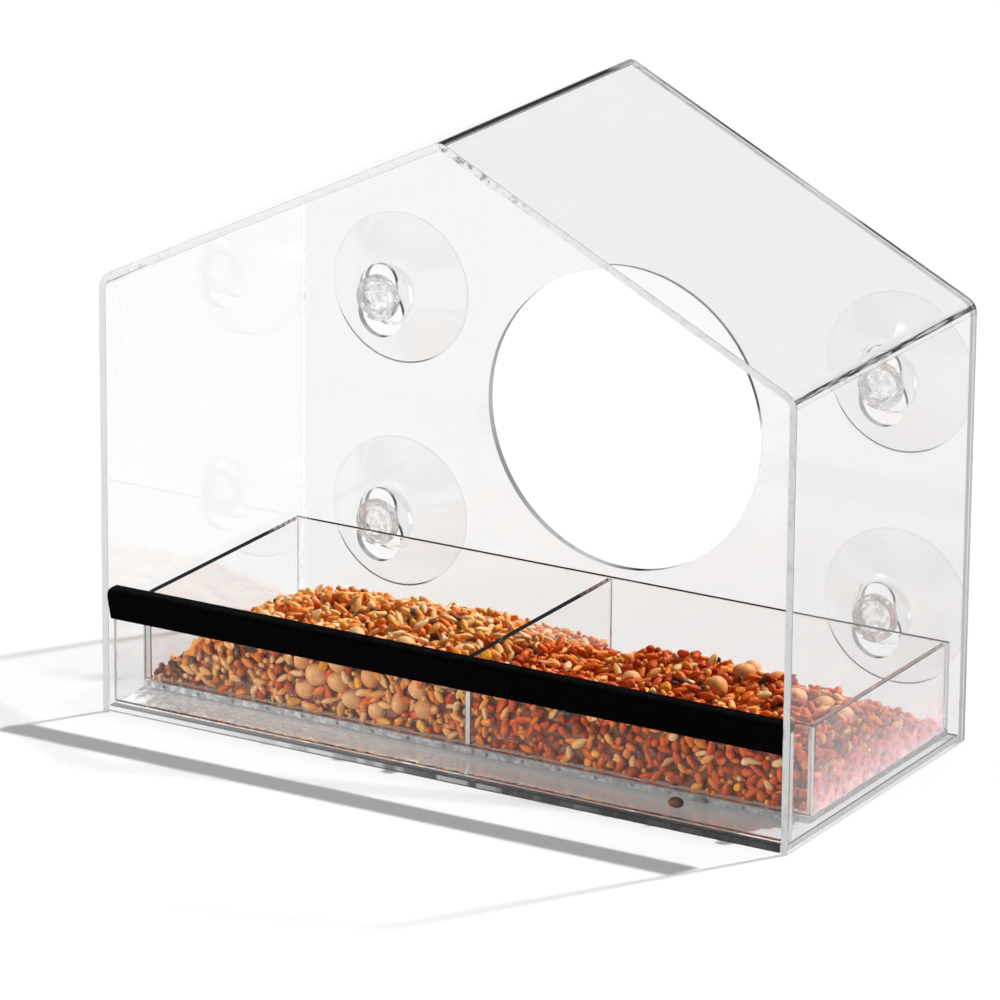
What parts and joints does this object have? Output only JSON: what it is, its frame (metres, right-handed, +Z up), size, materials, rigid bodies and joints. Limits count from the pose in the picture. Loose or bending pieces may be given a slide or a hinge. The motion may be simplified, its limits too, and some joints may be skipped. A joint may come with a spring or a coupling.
{
  "type": "window bird feeder",
  "caption": "House-shaped clear feeder for a window: bent-sheet roof and walls, round viewing hole, suction cups, lift-out seed tray with a divider and a black perch strip.",
  "frame": {"origin": "middle of the housing's footprint, on the surface that it stands on", "axes": "+X to the right along the open front, +Y towards the window, +Z up"},
  "size_m": [0.3, 0.1595, 0.2485],
  "materials": {
    "clear_acrylic": "clear, polished",
    "tray_acrylic": "clear, polished",
    "clear_soft_plastic": "clear, soft, glossy",
    "black_rubber": "matt",
    "mixed_seed": "satin, mixed"
  },
  "bodies": {
    "housing": {"housing_shell": "clear_acrylic", "back_panel": "clear_acrylic", "floor_panel": "clear_acrylic", "front_wall": "clear_acrylic", "perch_strip": "black_rubber"},
    "tray": {"tray_floor": "tray_acrylic", "tray_front_wall": "tray_acrylic", "tray_back_wall": "tray_acrylic", "tray_left_wall": "tray_acrylic", "tray_right_wall": "tray_acrylic", "tray_divider": "tray_acrylic", "seed_heap_left": "mixed_seed", "seed_heap_right": "mixed_seed"},
    "cup_upper_left": {"suction_cup_upper_left": "clear_soft_plastic"},
    "cup_upper_right": {"suction_cup_upper_right": "clear_soft_plastic"},
    "cup_lower_left": {"suction_cup_lower_left": "clear_soft_plastic"},
    "cup_lower_right": {"suction_cup_lower_right": "clear_soft_plastic"}
  },
  "joints": [
    {"name": "tray_lift", "type": "slide", "parent": "housing", "child": "tray", "axis": [0, 0, 1], "range_m": [0, 0.12]},
    {"name": "cup_upper_left_slide", "type": "slide", "parent": "housing", "child": "cup_upper_left", "axis": [0, 0, 1], "range_m": [-0.0065, 0.0065]},
    {"name": "cup_upper_right_slide", "type": "slide", "parent": "housing", "child": "cup_upper_right", "axis": [0, 0, 1], "range_m": [-0.0065, 0.0065]},
    {"name": "cup_lower_left_slide", "type": "slide", "parent": "housing", "child": "cup_lower_left", "axis": [0, 0, 1], "range_m": [-0.0065, 0.0065]},
    {"name": "cup_lower_right_slide", "type": "slide", "parent": "housing", "child": "cup_lower_right", "axis": [0, 0, 1], "range_m": [-0.0065, 0.0065]}
  ]
}
